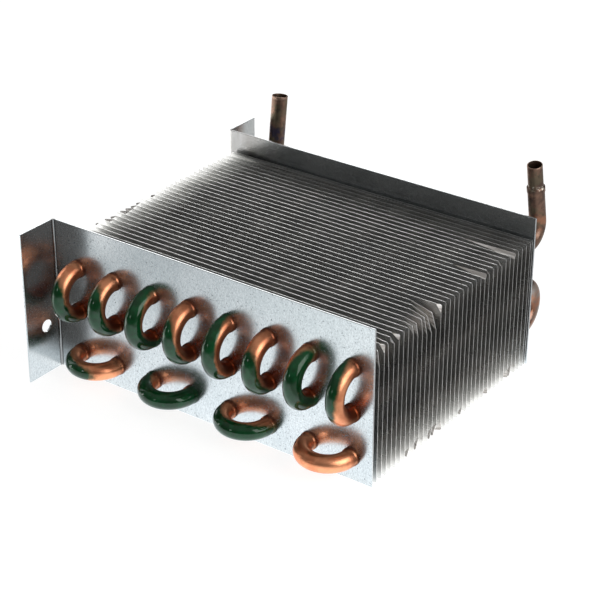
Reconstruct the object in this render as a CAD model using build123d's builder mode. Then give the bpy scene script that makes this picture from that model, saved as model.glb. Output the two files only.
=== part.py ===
from build123d import *
import os
from math import asin, copysign, cos, degrees, hypot, radians, sin

os.makedirs("parts", exist_ok=True)

# Frame: the origin lies on the outer face of the mounting flanges, midway between their two holes.
# X runs along the plates away from the flanges, Y from the hairpin bends in front to the
# connections at the rear, and Z up. Sizes are millimetres.

# Tube bank: leg_growth is what the hairpins' legs gain in diameter when they are pressed into the collars
tube_od = 9.525
tube_wall = 0.41
leg_growth = 0.58
tube_pitch = 25.4
column_count = 8
row_count = 3

# Fins: a collar is full_collar_height high, but stays collar_end_gap short of the fin in front of it
fin_count = 36
fin_pitch = 25.4 / 6
fin_thickness = 0.25
fin_corner_radius = 1.0
full_collar_height = 1.6
collar_end_gap = 0.25
collar_wall = 0.2
collar_clearance = 0.05

# End plates, each a folded sheet with its mounting flange on the left
plate_thickness = 1.0
plate_length = 207.4
plate_height = 88.9
front_flange_width = 26.0
rear_flange_width = 24.0
bend_radius = 1.0
edge_rounding = 0.25
plate_hole_clearance = 0.1
fin_lift = 0.5

# Mounting holes in the flanges
mounting_hole_diameter = 7.1
mounting_hole_height = 28.6
mounting_hole_offset = 10.0

# Hairpins: where their bends start in front of the front plate, and over what length the legs narrow there
hairpin_bend_run = 2.0
shoulder_length = 0.8

# Belled ends of the hairpin legs behind the rear plate
bell_start_run = 1.5
bell_flare_length = 1.0
bell_length = 7.0
braze_gap = 0.08

# Return bends, inlet and outlet, which all seat in the bells
socket_depth = 6.0
return_bend_run = 11.4
elbow_radius = 9.525
inlet_run = 13.4
inlet_lean = 7.3
inlet_top_height = 105.5
outlet_run = 15.3
outlet_lean = -12.0
outlet_tube_height = 96.5
rim_round = 0.3

# Stub brazed into the flared mouth of the outlet
mouth_length = 2.6
mouth_flare = 0.3
stub_top_height = 110.5
stub_insertion = 8.0
braze_fillet_height = 0.9

# Fins bent at a corner: fin number, side (-1 left, 1 right), end (-1 bottom, 1 top), the fold's run
# along that end and along the side, and how far the corner reaches across the gap to the next fin,
# as a share of that gap (negative towards the front)
bent_corners = [
    (1, 1, 1, 7.0, 10.0, -0.4),
    (2, 1, 1, 3.0, 4.3, 0.5),
    (3, 1, 1, 9.0, 16.0, -0.3),
    (4, 1, 1, 2.5, 3.0, -0.6),
    (5, 1, 1, 4.5, 3.0, 0.5),
    (8, 1, 1, 5.0, 5.0, -0.25),
    (9, 1, 1, 8.0, 8.0, -0.4),
    (10, 1, 1, 10.0, 8.0, -0.3),
    (11, 1, 1, 10.0, 11.0, -0.65),
    (12, 1, 1, 12.0, 12.0, -0.95),
    (13, 1, 1, 16.0, 12.0, -0.95),
    (14, 1, 1, 3.2, 4.5, 0.55),
    (24, 1, 1, 20.0, 3.2, 0.45),
    (25, 1, 1, 1.8, 1.8, -0.3),
    (28, 1, 1, 2.2, 2.6, -0.4),
    (31, 1, 1, 32.0, 3.2, 0.45),
    (7, -1, 1, 2.0, 2.0, -0.3),
    (9, -1, 1, 6.0, 4.0, -0.5),
    (10, -1, 1, 4.0, 3.0, -0.5),
    (12, -1, 1, 5.5, 5.0, -0.5),
    (13, -1, 1, 5.0, 4.0, -0.5),
    (14, -1, 1, 4.0, 3.0, -0.5),
    (15, -1, 1, 3.0, 2.5, -0.4),
    (18, -1, 1, 3.0, 3.0, -0.4),
    (8, 1, -1, 4.0, 5.5, -0.4),
    (10, 1, -1, 4.5, 7.0, -0.5),
    (13, 1, -1, 4.0, 7.0, -0.4),
    (14, 1, -1, 5.0, 7.5, -0.6),
    (15, 1, -1, 3.5, 6.0, 0.4),
    (20, 1, -1, 3.0, 5.0, -0.3),
    (26, 1, -1, 3.0, 5.0, 0.3),
    (31, 1, -1, 4.0, 6.0, 0.35),
    (32, 1, -1, 4.5, 7.0, -0.35),
]

# Worked out from the driving dimensions
tube_id = tube_od - 2 * tube_wall
leg_od = tube_od + leg_growth
bell_od = tube_od + 2 * (braze_gap + tube_wall)
stub_od = tube_id - 2 * braze_gap
mouth_od = tube_od + 2 * mouth_flare

fin_length = column_count * tube_pitch
fin_height = row_count * tube_pitch
fin_gap = fin_pitch - fin_thickness
last_fin_gap = fin_pitch / 2 - fin_thickness
collar_height = min(full_collar_height, last_fin_gap - collar_end_gap)
stack_depth = fin_count * fin_pitch

front_y = -(stack_depth + plate_thickness) / 2
rear_inner_y = front_y + stack_depth
rear_y = rear_inner_y + plate_thickness

plate_bottom = -mounting_hole_height
fin_bottom = plate_bottom + fin_lift
fin_left = plate_length - fin_length
fin_middle_x = fin_left + fin_length / 2
fin_middle_z = fin_bottom + fin_height / 2

hairpin_bend_y = front_y - hairpin_bend_run
bell_start_y = rear_y + bell_start_run
leg_end_y = bell_start_y + bell_flare_length + bell_length
seat_y = leg_end_y - socket_depth


def column_x(column):
    """X of a tube column, counted from 1 at the flange side"""
    return fin_left + tube_pitch * (column - 0.5)


def row_z(row):
    """Z of a tube row, counted from 1 at the top"""
    return fin_bottom + tube_pitch * (row_count - row + 0.5)


def upright(y):
    """Upright plane at depth y: its own x and y are X and Z, and it extrudes forwards"""
    return Plane.XZ.offset(-y)


def save(part, name):
    """Label one finished piece and write it under its name"""
    part.label = name
    export_step(part, f"parts/{name}.step")


def draw_tube_section(outside=tube_od, inside=tube_id):
    """Ring section of a tube, inside a BuildSketch"""
    Circle(outside / 2)
    Circle(inside / 2, mode=Mode.SUBTRACT)


def make_end_plate(name, outer_y, side, flange_width):
    """Sheet with tube holes, folded outwards into a flange; side is -1 in front and 1 at the rear"""
    inner_y = outer_y - side * plate_thickness
    flange_edge_y = outer_y + side * (flange_width - plate_thickness)
    hole_y = outer_y + side * mounting_hole_offset
    with BuildPart() as plate:
        with BuildSketch(Plane.XY.offset(plate_bottom)):
            with BuildLine():
                Polyline(
                    (0, inner_y),
                    (plate_length, inner_y),
                    (plate_length, outer_y),
                    (plate_thickness, outer_y),
                    (plate_thickness, flange_edge_y),
                    (0, flange_edge_y),
                    close=True,
                )
            make_face()
            fold_outside = vertices().sort_by_distance((0, inner_y))[0]
            fillet(fold_outside, bend_radius + plate_thickness)
            fold_inside = vertices().sort_by_distance((plate_thickness, outer_y))[0]
            fillet(fold_inside, bend_radius)
            fillet(vertices().sort_by_distance((plate_length, outer_y))[:2], edge_rounding)
            fillet(vertices().sort_by_distance((0, flange_edge_y))[:2], edge_rounding)
        extrude(amount=plate_height)
        fillet([edge for rim in faces().filter_by(Axis.Z) for edge in rim.edges()], edge_rounding)
        with BuildSketch(upright(max(inner_y, outer_y))):
            with Locations((fin_middle_x, fin_middle_z)):
                with GridLocations(tube_pitch, tube_pitch, column_count, row_count):
                    Circle(leg_od / 2 + plate_hole_clearance)
        extrude(amount=plate_thickness, mode=Mode.SUBTRACT)
        with BuildSketch(Plane.YZ):
            with Locations((hole_y, 0)):
                Circle(mounting_hole_diameter / 2)
        extrude(amount=plate_thickness, mode=Mode.SUBTRACT)
    save(plate.part, name)


def draw_fin_outline():
    """Outline of a fin before its corners are bent, inside a BuildSketch"""
    with Locations((fin_middle_x, fin_middle_z)):
        RectangleRounded(fin_length, fin_height, fin_corner_radius)


def corner_fold(side, end, along, rise):
    """Ends of the fold line across a corner, on the fin's end edge and on its side, and the corner itself"""
    corner = (fin_middle_x + side * fin_length / 2, fin_middle_z + end * fin_height / 2)
    return (corner[0] - side * along, corner[1]), (corner[0], corner[1] - end * rise), corner


def make_bent_corner(front_y, side, end, along, rise, reach):
    """Corner of a fin, turned about its fold line; the line lies in the face on the outside of the bend"""
    fold_start, fold_end, corner = corner_fold(side, end, along, rise)
    corner_height = along * rise / hypot(along, rise)
    turn = degrees(asin(min(1, abs(reach) * fin_gap / corner_height)))
    fold_y = front_y if reach > 0 else front_y + fin_thickness
    fold_direction = (fold_end[0] - fold_start[0], 0, fold_end[1] - fold_start[1])
    with BuildPart() as bent:
        with BuildSketch(upright(front_y + fin_thickness)):
            draw_fin_outline()
            Polygon(fold_start, corner, fold_end, align=None, mode=Mode.INTERSECT)
        extrude(amount=fin_thickness)
    fold = Axis((fold_start[0], fold_y, fold_start[1]), fold_direction)
    return bent.part.rotate(fold, -side * end * copysign(turn, reach))


def make_fin(name, middle_y, bends):
    """One plate fin, with a collar drawn forwards round each tube and the corners in bends bent over"""
    hole_radius = leg_od / 2 + collar_clearance
    fin_front_y = middle_y - fin_thickness / 2
    with BuildPart() as fin:
        with BuildSketch(upright(fin_front_y + fin_thickness)):
            draw_fin_outline()
            with Locations((fin_middle_x, fin_middle_z)):
                with GridLocations(tube_pitch, tube_pitch, column_count, row_count):
                    Circle(hole_radius, mode=Mode.SUBTRACT)
            for side, end, along, rise, _ in bends:
                Polygon(*corner_fold(side, end, along, rise), align=None, mode=Mode.SUBTRACT)
        extrude(amount=fin_thickness)
        with BuildSketch(upright(fin_front_y)):
            with Locations((fin_middle_x, fin_middle_z)):
                with GridLocations(tube_pitch, tube_pitch, column_count, row_count):
                    Circle(hole_radius + collar_wall)
                    Circle(hole_radius, mode=Mode.SUBTRACT)
        extrude(amount=collar_height)
        for bend in bends:
            add(make_bent_corner(fin_front_y, *bend))
    save(fin.part, name)


def make_leg(x, z):
    """Straight leg of a hairpin: it widens from the bend to fill the collars, and again to its bell"""
    stations = [
        (hairpin_bend_y, tube_od / 2),
        (hairpin_bend_y + shoulder_length, leg_od / 2),
        (bell_start_y, leg_od / 2),
        (bell_start_y + bell_flare_length, bell_od / 2),
        (leg_end_y, bell_od / 2),
    ]
    outside = [(radius, y - hairpin_bend_y) for y, radius in stations]
    inside = [(radius - tube_wall, y) for radius, y in reversed(outside)]
    with BuildPart() as leg:
        with BuildSketch(Plane((x, hairpin_bend_y, z), x_dir=(1, 0, 0), z_dir=(0, 0, 1))):
            with BuildLine():
                Polyline(*outside, *inside, close=True)
            make_face()
        revolve(axis=Axis((x, hairpin_bend_y, z), (0, 1, 0)))
    return leg.part


def make_hairpin(name, first, second):
    """Tube bent in front: its legs run through the stack at two (x, z) places and end in bells"""
    turn_middle = ((first[0] + second[0]) / 2, hairpin_bend_y, (first[1] + second[1]) / 2)
    turn_axis = (1, 0, 0) if first[0] == second[0] else (0, 0, 1)
    with BuildPart() as hairpin:
        with BuildSketch(upright(hairpin_bend_y)):
            with Locations(first):
                draw_tube_section()
        revolve(axis=Axis(turn_middle, turn_axis), revolution_arc=180)
        add(make_leg(*first))
        add(make_leg(*second))
    save(hairpin.part, name)


def make_return_bend(first, second):
    """Return bend behind the rear plate, from the bell at first to the bell at second"""
    bend_y = rear_y + return_bend_run
    turn_middle = ((first[0] + second[0]) / 2, bend_y, (first[1] + second[1]) / 2)
    turn_axis = (1, 0, 0) if first[0] == second[0] else (0, 0, 1)
    with BuildPart() as bend:
        with BuildSketch(upright(bend_y)):
            with Locations(first, second):
                draw_tube_section()
        extrude(amount=bend_y - seat_y)
        with BuildSketch(upright(bend_y)):
            with Locations(first):
                draw_tube_section()
        revolve(axis=Axis(turn_middle, turn_axis), revolution_arc=180)
    return bend.part


def elbow_end(x, z, run, lean):
    """Plane across the upper end of an elbow; lean is degrees from upright, away from the plate"""
    turn = radians(90 - lean)
    end_y = rear_y + run + elbow_radius * sin(turn)
    end_z = z + elbow_radius * (1 - cos(turn))
    return Plane((x, end_y, end_z), x_dir=(1, 0, 0), z_dir=(0, cos(turn), sin(turn)))


def length_up_to(plane, height):
    """Length along the normal of plane that reaches a height above the plate's bottom edge"""
    return (plate_bottom + height - plane.origin.Z) / plane.z_dir.Z


def make_bent_tube(x, z, run, lean, length):
    """Level leg seated in a bell, an elbow that turns it up, and a straight tube above it"""
    elbow_y = rear_y + run
    with BuildPart() as tube:
        with BuildSketch(upright(elbow_y)):
            with Locations((x, z)):
                draw_tube_section()
        extrude(amount=elbow_y - seat_y)
        with BuildSketch(upright(elbow_y)):
            with Locations((x, z)):
                draw_tube_section()
        revolve(axis=Axis((x, elbow_y, z + elbow_radius), (1, 0, 0)), revolution_arc=90 - lean)
        with BuildSketch(elbow_end(x, z, run, lean)):
            draw_tube_section()
        extrude(amount=length)
    return tube.part


# End plates

make_end_plate("front_end_plate", front_y, -1, front_flange_width)
make_end_plate("rear_end_plate", rear_y, 1, rear_flange_width)

# Fins, evenly spaced from the front plate; the last one is squeezed in before the rear plate

last_even_y = front_y + (fin_count - 1) * fin_pitch
for number in range(1, fin_count + 1):
    fin_y = front_y + number * fin_pitch if number < fin_count else (last_even_y + rear_inner_y) / 2
    bends = [bend for fin_number, *bend in bent_corners if fin_number == number]
    make_fin(f"fin_{number:02d}", fin_y, bends)

# Hairpins: an upright one in each column joins rows 1 and 2, level ones join row 3 in pairs

for column in range(1, column_count + 1):
    upper = (column_x(column), row_z(1))
    lower = (column_x(column), row_z(2))
    make_hairpin(f"upright_hairpin_{column}", upper, lower)

for pair in range(1, column_count // 2 + 1):
    left = (column_x(2 * pair - 1), row_z(3))
    right = (column_x(2 * pair), row_z(3))
    make_hairpin(f"level_hairpin_{pair}", left, right)

# Return bends: level ones join row 1 in pairs, upright ones join rows 2 and 3 in every column

for pair in range(1, column_count // 2):
    left = (column_x(2 * pair), row_z(1))
    right = (column_x(2 * pair + 1), row_z(1))
    save(make_return_bend(right, left), f"level_return_bend_{pair}")

upright_return_bends = []
for column in range(1, column_count + 1):
    upper = (column_x(column), row_z(2))
    lower = (column_x(column), row_z(3))
    upright_return_bends.append(make_return_bend(lower, upper))
save(Compound(children=upright_return_bends), "upright_return_bends")

# Inlet: one bent tube at the flange side, its rim rounded over

inlet_place = (column_x(1), row_z(1))
inlet_end = elbow_end(*inlet_place, inlet_run, inlet_lean)
inlet_length = length_up_to(inlet_end, inlet_top_height)
with BuildPart() as inlet_tube:
    add(make_bent_tube(*inlet_place, inlet_run, inlet_lean, inlet_length))
    inlet_rim = faces().sort_by(Axis.Z)[-1]
    fillet(inlet_rim.outer_wire().edges(), rim_round)
save(inlet_tube.part, "inlet_tube")

# Outlet: an elbow with a flared mouth, and the stub brazed into it with a fillet on the mouth's rim

outlet_place = (column_x(column_count), row_z(1))
outlet_end = elbow_end(*outlet_place, outlet_run, outlet_lean)
outlet_length = length_up_to(outlet_end, outlet_tube_height)
with BuildPart() as outlet_elbow:
    add(make_bent_tube(*outlet_place, outlet_run, outlet_lean, outlet_length - mouth_length))
    with BuildSketch(outlet_end.offset(outlet_length - mouth_length)):
        draw_tube_section(mouth_od, tube_id)
    extrude(amount=mouth_length)
save(outlet_elbow.part, "outlet_elbow")

stub_plane = outlet_end.offset(outlet_length - stub_insertion)
stub_length = length_up_to(stub_plane, stub_top_height)
with BuildPart() as outlet_stub:
    with Locations(outlet_end.offset(outlet_length)):
        Cone(mouth_od / 2, stub_od / 2, braze_fillet_height, align=(Align.CENTER, Align.CENTER, Align.MIN))
    with BuildSketch(stub_plane):
        Circle(stub_od / 2)
    extrude(amount=stub_length)
    stub_rim = faces().sort_by(Axis.Z)[-1]
    fillet(stub_rim.outer_wire().edges(), rim_round)
    with BuildSketch(stub_plane):
        Circle(stub_od / 2 - tube_wall)
    extrude(amount=stub_length, mode=Mode.SUBTRACT)
save(outlet_stub.part, "outlet_stub")
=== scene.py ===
"""Looks of the finned condenser coil: materials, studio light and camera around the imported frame.

All lengths are in metres, in the frame of the part: +X along the end plates away from the flanges,
+Y from the front hairpin bends to the rear, +Z up. Colours are linear red, green and blue.
"""

from math import pi, radians

import bpy
from mathutils import Matrix, Vector


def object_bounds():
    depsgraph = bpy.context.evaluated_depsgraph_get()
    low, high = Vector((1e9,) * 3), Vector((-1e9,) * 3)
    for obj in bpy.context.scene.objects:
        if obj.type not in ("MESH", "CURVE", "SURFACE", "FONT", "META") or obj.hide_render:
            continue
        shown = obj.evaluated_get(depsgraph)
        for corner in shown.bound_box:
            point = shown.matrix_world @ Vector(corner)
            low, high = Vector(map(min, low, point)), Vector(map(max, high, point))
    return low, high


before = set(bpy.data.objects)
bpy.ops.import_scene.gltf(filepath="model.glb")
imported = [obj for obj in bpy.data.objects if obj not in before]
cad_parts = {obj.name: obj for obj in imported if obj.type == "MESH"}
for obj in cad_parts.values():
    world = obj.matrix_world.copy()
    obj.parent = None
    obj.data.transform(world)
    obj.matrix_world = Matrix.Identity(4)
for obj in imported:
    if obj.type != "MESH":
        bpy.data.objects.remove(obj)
cad_low, cad_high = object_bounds()

# Sizes of the coil that the looks follow
TUBE_PITCH = 0.0254
TUBE_RADIUS = 0.0047625
BEND_RADIUS = TUBE_PITCH / 2
FIRST_COLUMN = 0.0169
PLATE_FRONT = -0.0767
PLATE_REAR = 0.0767
PLATE_BOTTOM = -0.0286
BEND_START = PLATE_FRONT - 0.002
UPPER_ROWS_MIDDLE = 0.0227
LOWER_ROW = -0.0154
FIN_TOP = 0.0481
INLET_TOP = 0.0769
OUTLET_TOP = 0.0819
SOLDER_SEAM = 0.0684

# Folds between the plates and their flanges: place along X, and distance from the middle along Y
FOLD_ACROSS = 0.0013
FOLD_DEPTH = 0.0770

# Heat stains on the connections: colour, and the height that they lie around
BLUE_STAIN = (0.045, 0.045, 0.095)
RED_STAIN = (0.50, 0.23, 0.14)
INLET_STAIN = 0.0550
OUTLET_STAIN = 0.0475

# How the lacquer lies on each hairpin: everywhere, outside, down, out from the plate, right
UPRIGHT_GREEN = (
    (-1.35, 0.90, 1.05, 1.45, -0.35),
    (-1.15, 1.05, 0.85, 1.50, -0.30),
    (0.10, 1.50, 0.75, 0.60, -0.30),
    (-1.25, 1.10, 0.95, 1.20, -0.65),
    (-0.55, 1.40, 0.35, 0.70, -0.75),
    (-1.50, 1.05, 1.05, 1.50, -0.10),
    (-0.80, 0.75, 0.30, 0.95, 1.10),
    (-1.35, 0.65, -0.45, 1.10, -0.95),
)
LEVEL_GREEN = (
    (-1.85, 0.95, 0.15, 1.35, -0.85),
    (0.35, 1.20, 0.10, 1.00, 0.00),
    (-0.70, 1.25, 0.45, 1.10, -0.25),
    (-3.00, 0.00, 0.00, 0.00, 0.00),
)

# Studio, and the camera fitted to the photo: angles in degrees, sensor and lens in millimetres
LAMP_TARGET = Vector((0.105, 0.0, 0.02))
FLOOR_HALF = 8.0
FLOOR_GAP = 0.00005
CAMERA_PLACE = Vector((0.62625, -0.71303, 0.47714))
CAMERA_HEADING = 36.03672
CAMERA_DIP = 27.79262
CAMERA_ROLL = 0.17431
SENSOR_WIDTH = 36.0
FOCAL_LENGTH = 110.28


class Graph:
    """Short ways to add and join the nodes of a material or of the world."""

    def __init__(self, owner):
        owner.use_nodes = True
        self.owner = owner
        self.nodes = owner.node_tree.nodes
        self.links = owner.node_tree.links

    def feed(self, socket, value):
        """Links another node's output to the socket, or gives it a plain value."""
        if isinstance(value, bpy.types.NodeSocket):
            self.links.new(value, socket)
        elif socket.type == "RGBA":
            socket.default_value = (*value, 1)
        else:
            socket.default_value = value

    def add(self, kind, inputs=None, **settings):
        node = self.nodes.new(kind)
        for name, value in settings.items():
            setattr(node, name, value)
        for name, value in (inputs or {}).items():
            self.feed(node.inputs[name], value)
        return node

    def set_surface(self, **values):
        """Feeds the shader's sockets, which are named here with underscores for spaces."""
        for name, value in values.items():
            self.feed(self.nodes["Principled BSDF"].inputs[name.replace("_", " ")], value)

    def place(self, stretch=None):
        """Object coordinates, which are the part's own metres here, times stretch along each axis."""
        where = self.add("ShaderNodeTexCoord").outputs["Object"]
        if stretch is None:
            return where
        return self.add("ShaderNodeMapping", {"Vector": where, "Scale": stretch}).outputs["Vector"]

    def axis(self, vector, index):
        return self.add("ShaderNodeSeparateXYZ", {"Vector": vector}).outputs[index]

    def noise(self, vector, scale, detail=3.0, roughness=0.55, distortion=0.0):
        inputs = {"Vector": vector, "Scale": scale, "Detail": detail, "Roughness": roughness,
                  "Distortion": distortion}
        return self.add("ShaderNodeTexNoise", inputs).outputs["Fac"]

    def grain(self, stretch, detail=2.0, roughness=0.55):
        """Noise that is drawn out along the axes with the smaller stretch."""
        return self.noise(self.place(stretch), 1.0, detail, roughness)

    def ramp(self, value, low, high, start=0.0, end=1.0):
        """Goes softly from start to end while value goes from low to high."""
        inputs = {"Value": value, "From Min": low, "From Max": high, "To Min": start, "To Max": end}
        return self.add("ShaderNodeMapRange", inputs, interpolation_type="SMOOTHSTEP").outputs["Result"]

    def mix(self, share, first, second):
        """The first colour where share is 0, and the second where it is 1."""
        node = self.add("ShaderNodeMix", data_type="RGBA")
        colour_sockets = (0, 6, 7)
        for index, value in zip(colour_sockets, (share, first, second)):
            self.feed(node.inputs[index], value)
        return node.outputs[2]

    def bump(self, height, distance, strength):
        inputs = {"Height": height, "Distance": distance, "Strength": strength}
        self.set_surface(Normal=self.add("ShaderNodeBump", inputs).outputs["Normal"])

    def math(self, operation, *values):
        node = self.add("ShaderNodeMath", operation=operation)
        for socket, value in zip(node.inputs, values):
            self.feed(socket, value)
        return node.outputs[0]

    def plus(self, first, second):
        return self.math("ADD", first, second)

    def minus(self, first, second):
        return self.math("SUBTRACT", first, second)

    def times(self, first, second):
        return self.math("MULTIPLY", first, second)

    def times_plus(self, value, factor, rest):
        return self.math("MULTIPLY_ADD", value, factor, rest)

    def over(self, first, second):
        return self.math("DIVIDE", first, second)

    def larger(self, first, second):
        return self.math("MAXIMUM", first, second)

    def absolute(self, value):
        return self.math("ABSOLUTE", value)


def new_material(name):
    return Graph(bpy.data.materials.new(name))


def galvanised_sheet(name, metallic, painted_shade_end):
    """Half mirror-like zinc with soft clouds, fine grain, dark specks and faint rubbing marks.

    The last argument is how far the plate's end next to its flange is darkened, in streaks, as painted
    shade for a dim reflection there: 0 is not at all.
    """
    graph = new_material(name)
    where = graph.place()
    across = graph.axis(where, 0)
    along = graph.axis(where, 1)
    clouds = graph.noise(where, 30.0, detail=4.0)
    colour = graph.mix(graph.ramp(clouds, 0.35, 0.65), (0.66, 0.69, 0.70), (0.73, 0.75, 0.76))
    grain = graph.grain((1700.0, 1700.0, 900.0), roughness=0.7)
    colour = graph.mix(graph.ramp(grain, 0.35, 0.65, 0.42, 0.0), colour, (0.40, 0.43, 0.45))
    specks = graph.ramp(graph.noise(where, 1100.0, detail=1.0), 0.66, 0.72)
    colour = graph.mix(graph.times(specks, 0.6), colour, (0.14, 0.16, 0.19))
    rubs = graph.ramp(graph.grain((900.0, 900.0, 40.0)), 0.68, 0.76)
    colour = graph.mix(graph.times(rubs, 0.3), colour, (0.36, 0.38, 0.40))

    # Painted shade: the plate's end is darkened in streaks, up to but not on its flange, for a dim
    # reflection there
    end = graph.times(graph.ramp(across, 0.045, 0.018), graph.ramp(along, 0.079, 0.077))
    streaks = graph.ramp(graph.grain((260.0, 260.0, 25.0)), 0.3, 0.7, 0.7 * painted_shade_end, painted_shade_end)
    colour = graph.mix(graph.times(end, streaks), colour, (0.30, 0.29, 0.28))

    # Painted shade: grey line, about 2 mm wide, along the fold between the plate and its flange, that
    # dims the fold's highlight
    from_fold_across = graph.absolute(graph.minus(across, FOLD_ACROSS))
    from_fold_along = graph.absolute(graph.minus(graph.absolute(along), FOLD_DEPTH))
    from_fold = graph.larger(from_fold_across, from_fold_along)
    colour = graph.mix(graph.ramp(from_fold, 0.0013, 0.0008, 0.0, 0.9), colour, (0.25, 0.25, 0.25))

    roughness = graph.plus(graph.ramp(clouds, 0.3, 0.7, 0.18, 0.25), graph.times(specks, 0.2))
    graph.set_surface(Base_Color=colour, Metallic=metallic, Roughness=roughness)
    graph.bump(graph.noise(where, 700.0), 0.00002, 0.35)
    return graph.owner


def aluminium_fin():
    """Mill-finish foil, dusty along the top of the stack; folded-over corners are scratched, and made
    lighter as a painted highlight.
    """
    graph = new_material("aluminium_fin")
    where = graph.place()
    clouds = graph.noise(where, 60.0, detail=4.0)
    face = graph.mix(graph.ramp(clouds, 0.35, 0.65), (0.60, 0.60, 0.59), (0.70, 0.70, 0.69))
    rolling = graph.grain((20.0, 20.0, 1500.0))
    face = graph.mix(graph.ramp(rolling, 0.3, 0.7, 0.0, 0.15), face, (0.44, 0.44, 0.43))

    # Flat faces look along Y, folded corners lean, and cut edges look across
    flat = graph.absolute(graph.axis(graph.add("ShaderNodeNewGeometry").outputs["Normal"], 1))
    folded = graph.times(graph.ramp(flat, 0.995, 0.96), graph.ramp(flat, 0.35, 0.5))
    scratches = graph.ramp(graph.grain((60.0, 60.0, 900.0), detail=3.0), 0.40, 0.60)
    # Folded corners: real scratches, made light as a painted highlight
    scuffs_and_painted_highlight = graph.mix(scratches, (0.50, 0.47, 0.44), (0.94, 0.91, 0.88))
    face = graph.mix(folded, face, scuffs_and_painted_highlight)
    nicks = graph.ramp(graph.noise(where, 250.0), 0.35, 0.6)
    bare = graph.mix(nicks, (0.68, 0.68, 0.67), (0.94, 0.94, 0.93))
    colour = graph.mix(graph.ramp(flat, 0.5, 0.2), face, bare)

    # Dust and scuffs make the foil less metallic
    clean = graph.ramp(graph.axis(where, 2), FIN_TOP - 0.0075, FIN_TOP - 0.001, 0.985, 0.87)
    clean = graph.times_plus(folded, -0.7, clean)
    roughness = graph.times_plus(folded, 0.2, graph.ramp(rolling, 0.3, 0.7, 0.27, 0.36))
    graph.set_surface(Base_Color=colour, Metallic=clean, Roughness=roughness)
    graph.bump(graph.noise(where, 260.0, detail=2.0), 0.0001, 0.35)
    return graph.owner


def copper_colour(graph, where, fresh, dull):
    """Copper with blotches and fine specks of thin oxide."""
    blotches = graph.ramp(graph.noise(where, 110.0, detail=4.0, distortion=0.4), 0.38, 0.68)
    specks = graph.ramp(graph.noise(where, 600.0), 0.5, 0.75, 0.0, 0.35)
    return graph.mix(specks, graph.mix(blotches, fresh, dull), dull)


def lacquered_copper(name, middle, upright, green):
    """Bright copper, partly under a clear green lacquer that was brushed on after bending.

    middle is the centre of the hairpin's bend, which stands upright or else lies level. green is how
    much lacquer there is everywhere, and how much more towards the outside of the bend, downwards, out
    from the plate and to the right.
    """
    graph = new_material(name)
    where = graph.place()
    along = graph.axis(where, 1)
    ragged = graph.minus(graph.noise(where, 260.0), 0.5)

    # Directions from the bend's middle: 1 is the bend's radius, or the tube's across an upright bend
    out = graph.over(graph.minus(middle.y, along), BEND_RADIUS)
    down = graph.over(graph.minus(middle.z, graph.axis(where, 2)), BEND_RADIUS)
    half_width = TUBE_RADIUS if upright else BEND_RADIUS
    right = graph.over(graph.minus(graph.axis(where, 0), middle.x), half_width)

    # From -1 on the inner side of the bend to 1 on its outer side
    side = down if upright else right
    reach = graph.math("SQRT", graph.plus(graph.times(side, side), graph.times(out, out)))
    outside = graph.times(graph.minus(reach, 1.0), BEND_RADIUS / TUBE_RADIUS)

    # Lacquer, only in front of the plate
    share, *weights = green
    for value, weight in zip((outside, down, out, right), weights):
        share = graph.times_plus(value, weight, share)
    share = graph.times_plus(ragged, 0.8, share)
    lacquer = graph.times(graph.ramp(share, -0.4, 0.4), graph.ramp(out, -0.35, -0.2))
    film = graph.ramp(graph.noise(where, 200.0, detail=2.0), 0.35, 0.7)
    film = graph.mix(film, (0.002, 0.048, 0.011), (0.003, 0.090, 0.024))

    # Copper with painted shade: darker on the legs next to the plate, and a painted dark red reflection
    # in the lower hollow of the bend; dull grey between the plates
    copper = copper_colour(graph, where, (1.00, 0.43, 0.225), (0.76, 0.27, 0.135))
    # Painted shade on the legs next to the plate, which are also a little rougher
    painted_shade_near_plate = graph.ramp(graph.times_plus(ragged, 0.9, out), 0.22, -0.16)
    under = graph.ramp(down, 0.38, 0.62)
    # Painted reflection: the inner side of the bend's lower half is darkened
    painted_hollow_reflection = graph.times(graph.ramp(outside, 0.6, -0.3), graph.ramp(out, 0.95, 0.35))
    dark = graph.larger(graph.times(painted_shade_near_plate, 0.88), graph.times(painted_hollow_reflection, under))
    # Painted shade colours: brown higher up, dark red lower down
    copper = graph.mix(dark, copper, graph.mix(under, (0.21, 0.062, 0.032), (0.26, 0.055, 0.020)))
    # Dull grey between the plates
    between = graph.ramp(along, PLATE_FRONT, PLATE_FRONT + 0.002, 0.0, 0.7)
    copper = graph.mix(between, copper, (0.30, 0.24, 0.20))

    graph.set_surface(
        Base_Color=graph.mix(lacquer, copper, film),
        Metallic=graph.times_plus(lacquer, -0.8, 1.0),
        Roughness=graph.times_plus(painted_shade_near_plate, 0.06, 0.36),
        Specular_IOR_Level=0.1,
        Coat_Weight=graph.times(lacquer, 0.8),
        Coat_Roughness=0.08,
    )
    graph.bump(graph.noise(where, 420.0, detail=2.0), 0.00006, 0.3)
    return graph.owner


def brazed_copper():
    """Return bends, greyed by the torch with redder patches, darkest near their joints."""
    graph = new_material("brazed_copper")
    where = graph.place()
    copper = copper_colour(graph, where, (0.40, 0.19, 0.12), (0.26, 0.14, 0.09))
    ash = graph.ramp(graph.noise(where, 85.0), 0.42, 0.56, 0.0, 0.85)
    copper = graph.mix(ash, copper, (0.25, 0.215, 0.19))
    from_plate = graph.minus(graph.axis(where, 1), PLATE_REAR)
    smoke = graph.times_plus(graph.noise(where, 160.0), 0.012, from_plate)
    burnt = graph.ramp(smoke, 0.008, 0.020, 0.8, 0.0)
    graph.set_surface(
        Base_Color=graph.mix(burnt, copper, (0.11, 0.06, 0.045)),
        Metallic=1.0,
        Roughness=graph.times_plus(burnt, 0.2, 0.3),
    )
    graph.bump(graph.noise(where, 420.0, detail=2.0), 0.00006, 0.4)
    return graph.owner


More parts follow.
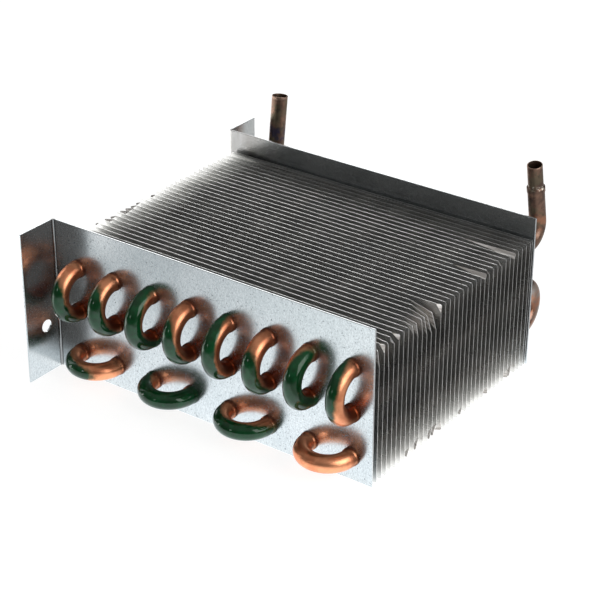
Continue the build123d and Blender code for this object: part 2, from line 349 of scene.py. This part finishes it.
def heat_stained_copper(name, stain_height, stain_colour, rim_height, solder_height=None):
    """Connection tubes browned by the torch, with olive patches and a lighter cut rim: fresh copper, with
    a painted highlight.

    The stain lies around stain_height. rim_height is that of the tube's open end, and solder_height
    that of a seam with bright flecks of solder, where there is one.
    """
    graph = new_material(name)
    where = graph.place()
    height = graph.axis(where, 2)
    colour = copper_colour(graph, where, (0.29, 0.175, 0.125), (0.13, 0.085, 0.068))
    olive = graph.ramp(graph.noise(where, 130.0), 0.46, 0.60, 0.0, 0.7)
    colour = graph.mix(olive, colour, (0.165, 0.145, 0.095))
    soot = graph.ramp(graph.noise(where, 330.0), 0.55, 0.68, 0.0, 0.5)
    colour = graph.mix(soot, colour, (0.06, 0.05, 0.045))

    # Stain with a ragged border: the noise lifts the height by 0 to 12 mm, 6 mm on average
    ragged_height = graph.times_plus(graph.noise(where, 300.0), 0.012, height)
    from_stain = graph.absolute(graph.minus(ragged_height, stain_height + 0.006))
    patches = graph.ramp(graph.noise(where, 170.0, detail=2.0), 0.38, 0.52)
    stain = graph.times(graph.ramp(from_stain, 0.001, 0.006, 0.8, 0.0), patches)
    colour = graph.mix(stain, colour, stain_colour)

    # Cut rim: fresh copper, made lighter as a painted highlight
    fresh = graph.ramp(graph.minus(rim_height, height), 0.0016, 0.0006, 0.0, 0.7)
    colour = graph.mix(fresh, colour, (0.46, 0.31, 0.24))
    if solder_height is not None:
        from_seam = graph.absolute(graph.minus(height, solder_height))
        flecks = graph.ramp(graph.noise(where, 700.0), 0.54, 0.62)
        flecks = graph.times(graph.ramp(from_seam, 0.0008, 0.0016, 1.0, 0.0), flecks)
        colour = graph.mix(flecks, colour, (0.72, 0.66, 0.56))
    roughness = graph.ramp(graph.noise(where, 90.0), 0.3, 0.7, 0.32, 0.5)
    graph.set_surface(Base_Color=colour, Metallic=0.9, Roughness=roughness)
    graph.bump(graph.noise(where, 500.0), 0.00008, 0.4)
    return graph.owner


def give(node, material):
    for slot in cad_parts[node].material_slots:
        slot.material = material


def painted_floor_reflection(graph, glossy_depth):
    """Painted reflection: the floor's glow as metal mirrors it, bright near the coil and dim far off."""
    where = graph.add("ShaderNodeNewGeometry").outputs["Position"]
    across = graph.axis(where, 0)
    along = graph.axis(where, 1)
    off_middle = graph.absolute(along)
    right = graph.ramp(across, -0.06, 0.14)
    close = graph.mix(right, (1.08, 1.14, 1.17), (1.32, 1.40, 1.45))
    from_origin = graph.add("ShaderNodeVectorMath", {0: where}, operation="LENGTH").outputs["Value"]

    # Where along the front plate the camera sees each point of the floor in front mirrored
    view_slope = 0.727
    in_front = graph.larger(graph.minus(PLATE_FRONT, along), 0.0)
    plate_point = graph.times_plus(in_front, view_slope, across)

    # Painted shade: a dim spot that the camera sees mirrored in the rear plate's end, next to its flange
    spot = {0: where, 1: (-0.110, -0.081, PLATE_BOTTOM)}
    from_spot = graph.add("ShaderNodeVectorMath", spot, operation="DISTANCE").outputs["Value"]

    # Painted shade: the floor glows dimmer where it is mirrored a second time, in a corner between two
    # sheets in front of the coil
    second = graph.math("GREATER_THAN", glossy_depth, 1.5)
    corner = graph.times(second, graph.ramp(along, -0.08, -0.10))

    colour = graph.mix(right, (0.64, 0.68, 0.70), (1.18, 1.25, 1.27))
    # Painted reflection: how brightly the floor glows to mirrored rays, zone by zone
    painted_reflection_zones = (
        # Behind the coil
        (graph.ramp(along, 0.08, 0.10), (0.68, 0.68, 0.67)),
        # Wide band that the coil stands in
        (graph.ramp(off_middle, 0.22, 0.075), close),
        # Band as deep as the stack of fins
        (graph.ramp(off_middle, 0.085, 0.06), (1.60, 1.60, 1.58)),
        # Left of what the front plate mirrors
        (graph.ramp(plate_point, 0.005, -0.025), (2.60, 2.60, 2.57)),
        # Right of the coil
        (graph.ramp(across, 0.212, 0.240), (0.62, 0.62, 0.62)),
        # Painted shade around the spot
        (graph.ramp(from_spot, 0.046, 0.028), (0.42, 0.41, 0.40)),
        # Far off
        (graph.ramp(from_origin, 0.3, 0.9), (0.16, 0.16, 0.16)),
        # Painted shade in the corner between two sheets
        (corner, (0.125, 0.118, 0.112)),
    )
    for share, zone_colour in painted_reflection_zones:
        colour = graph.mix(share, colour, zone_colour)
    return colour


def floor_material():
    """White floor that keeps a pale shadow, and that metal mirrors as a painted reflection: a glow in
    colours of its own.
    """
    graph = new_material("studio_floor")
    graph.nodes.remove(graph.nodes["Principled BSDF"])
    path = graph.add("ShaderNodeLightPath").outputs
    mirrored = painted_floor_reflection(graph, path["Glossy Depth"])
    seen = graph.larger(path["Is Camera Ray"], path["Is Transmission Ray"])
    room = graph.add("ShaderNodeBsdfDiffuse", {"Color": (0.80, 0.80, 0.80)}).outputs[0]
    shaded = graph.add("ShaderNodeBsdfDiffuse", {"Color": (0.40, 0.40, 0.40)}).outputs[0]
    white = graph.add("ShaderNodeEmission", {"Color": (1, 1, 1), "Strength": 0.86}).outputs[0]
    reflection_glow = graph.add("ShaderNodeEmission", {"Color": mirrored}).outputs[0]
    page = graph.add("ShaderNodeAddShader", {0: shaded, 1: white}).outputs[0]
    floor = graph.add("ShaderNodeMixShader", {0: seen, 1: room, 2: page}).outputs[0]
    floor = graph.add("ShaderNodeMixShader", {0: path["Is Glossy Ray"], 1: floor, 2: reflection_glow}).outputs[0]
    graph.feed(graph.nodes["Material Output"].inputs["Surface"], floor)
    return graph.owner


def add_floor(half, height):
    mesh = bpy.data.meshes.new("studio_floor")
    corners = [(-half, -half, height), (half, -half, height), (half, half, height), (-half, half, height)]
    mesh.from_pydata(corners, [], [(0, 1, 2, 3)])
    mesh.materials.append(floor_material())
    floor = bpy.data.objects.new("studio_floor", mesh)
    bpy.context.scene.collection.objects.link(floor)


def add_lamp(name, location, width, height, radiance):
    """Rectangular soft lamp. Its power follows from the radiance that its face shows."""
    data = bpy.data.lights.new(name, "AREA")
    data.shape = "RECTANGLE"
    data.size = width
    data.size_y = height
    data.energy = radiance * pi * width * height
    lamp = bpy.data.objects.new(name, data)
    lamp.location = location
    lamp.rotation_euler = (LAMP_TARGET - Vector(location)).to_track_quat("-Z", "Y").to_euler()
    lamp.visible_camera = False
    bpy.context.scene.collection.objects.link(lamp)


def set_world():
    """White where the camera looks past the floor; else a dim room with a brighter ceiling."""
    world = bpy.data.worlds.new("studio")
    bpy.context.scene.world = world
    graph = Graph(world)
    direction = graph.add("ShaderNodeTexCoord").outputs["Generated"]
    room = graph.ramp(graph.axis(direction, 2), 0.2, 0.9, 0.07, 0.34)
    seen = graph.add("ShaderNodeLightPath").outputs["Is Camera Ray"]
    graph.feed(graph.nodes["Background"].inputs["Color"], graph.mix(seen, room, (1, 1, 1)))


def add_camera():
    data = bpy.data.cameras.new("camera")
    data.sensor_width = SENSOR_WIDTH
    data.lens = FOCAL_LENGTH
    camera = bpy.data.objects.new("camera", data)
    heading = Matrix.Rotation(radians(CAMERA_HEADING), 4, "Z")
    dip = Matrix.Rotation(radians(90 - CAMERA_DIP), 4, "X")
    roll = Matrix.Rotation(radians(CAMERA_ROLL), 4, "Z")
    camera.matrix_world = Matrix.Translation(CAMERA_PLACE) @ heading @ dip @ roll
    bpy.context.scene.collection.objects.link(camera)
    bpy.context.scene.camera = camera


# Materials of the pieces
give("front_end_plate", galvanised_sheet("front_sheet", metallic=0.97, painted_shade_end=0.0))
give("rear_end_plate", galvanised_sheet("rear_sheet", metallic=0.95, painted_shade_end=0.9))

foil = aluminium_fin()
brazed = brazed_copper()
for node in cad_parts:
    if node.startswith("fin_"):
        give(node, foil)
    elif "return_bend" in node:
        give(node, brazed)

for index, green in enumerate(UPRIGHT_GREEN):
    name = f"upright_hairpin_{index + 1}"
    middle = Vector((FIRST_COLUMN + index * TUBE_PITCH, BEND_START, UPPER_ROWS_MIDDLE))
    give(name, lacquered_copper(name, middle, upright=True, green=green))
for index, green in enumerate(LEVEL_GREEN):
    name = f"level_hairpin_{index + 1}"
    middle = Vector((FIRST_COLUMN + (2 * index + 0.5) * TUBE_PITCH, BEND_START, LOWER_ROW))
    give(name, lacquered_copper(name, middle, upright=False, green=green))

give("inlet_tube", heat_stained_copper("inlet_brown", INLET_STAIN, BLUE_STAIN, INLET_TOP))
give("outlet_elbow", heat_stained_copper("outlet_brown", OUTLET_STAIN, RED_STAIN, OUTLET_TOP))
give("outlet_stub", heat_stained_copper("stub_brown", OUTLET_STAIN, RED_STAIN, OUTLET_TOP, SOLDER_SEAM))

# Studio and camera
add_floor(FLOOR_HALF, cad_low.z - FLOOR_GAP)
add_lamp("back_left_softbox", (-1.10, 1.22, 0.92), width=1.4, height=0.8, radiance=2.3)
add_lamp("key_softbox", (1.40, -0.04, 0.68), width=1.3, height=1.05, radiance=2.8)
add_lamp("left_strip", (-1.15, -0.62, 0.16), width=0.10, height=0.30, radiance=5.5)
add_lamp("front_strip", (-0.25, -1.25, 0.42), width=0.14, height=0.14, radiance=6.0)
set_world()
add_camera()
bpy.context.scene.view_settings.view_transform = "Standard"

# Light is mirrored many times between the fins
bpy.context.scene.cycles.max_bounces = 16
bpy.context.scene.cycles.glossy_bounces = 14
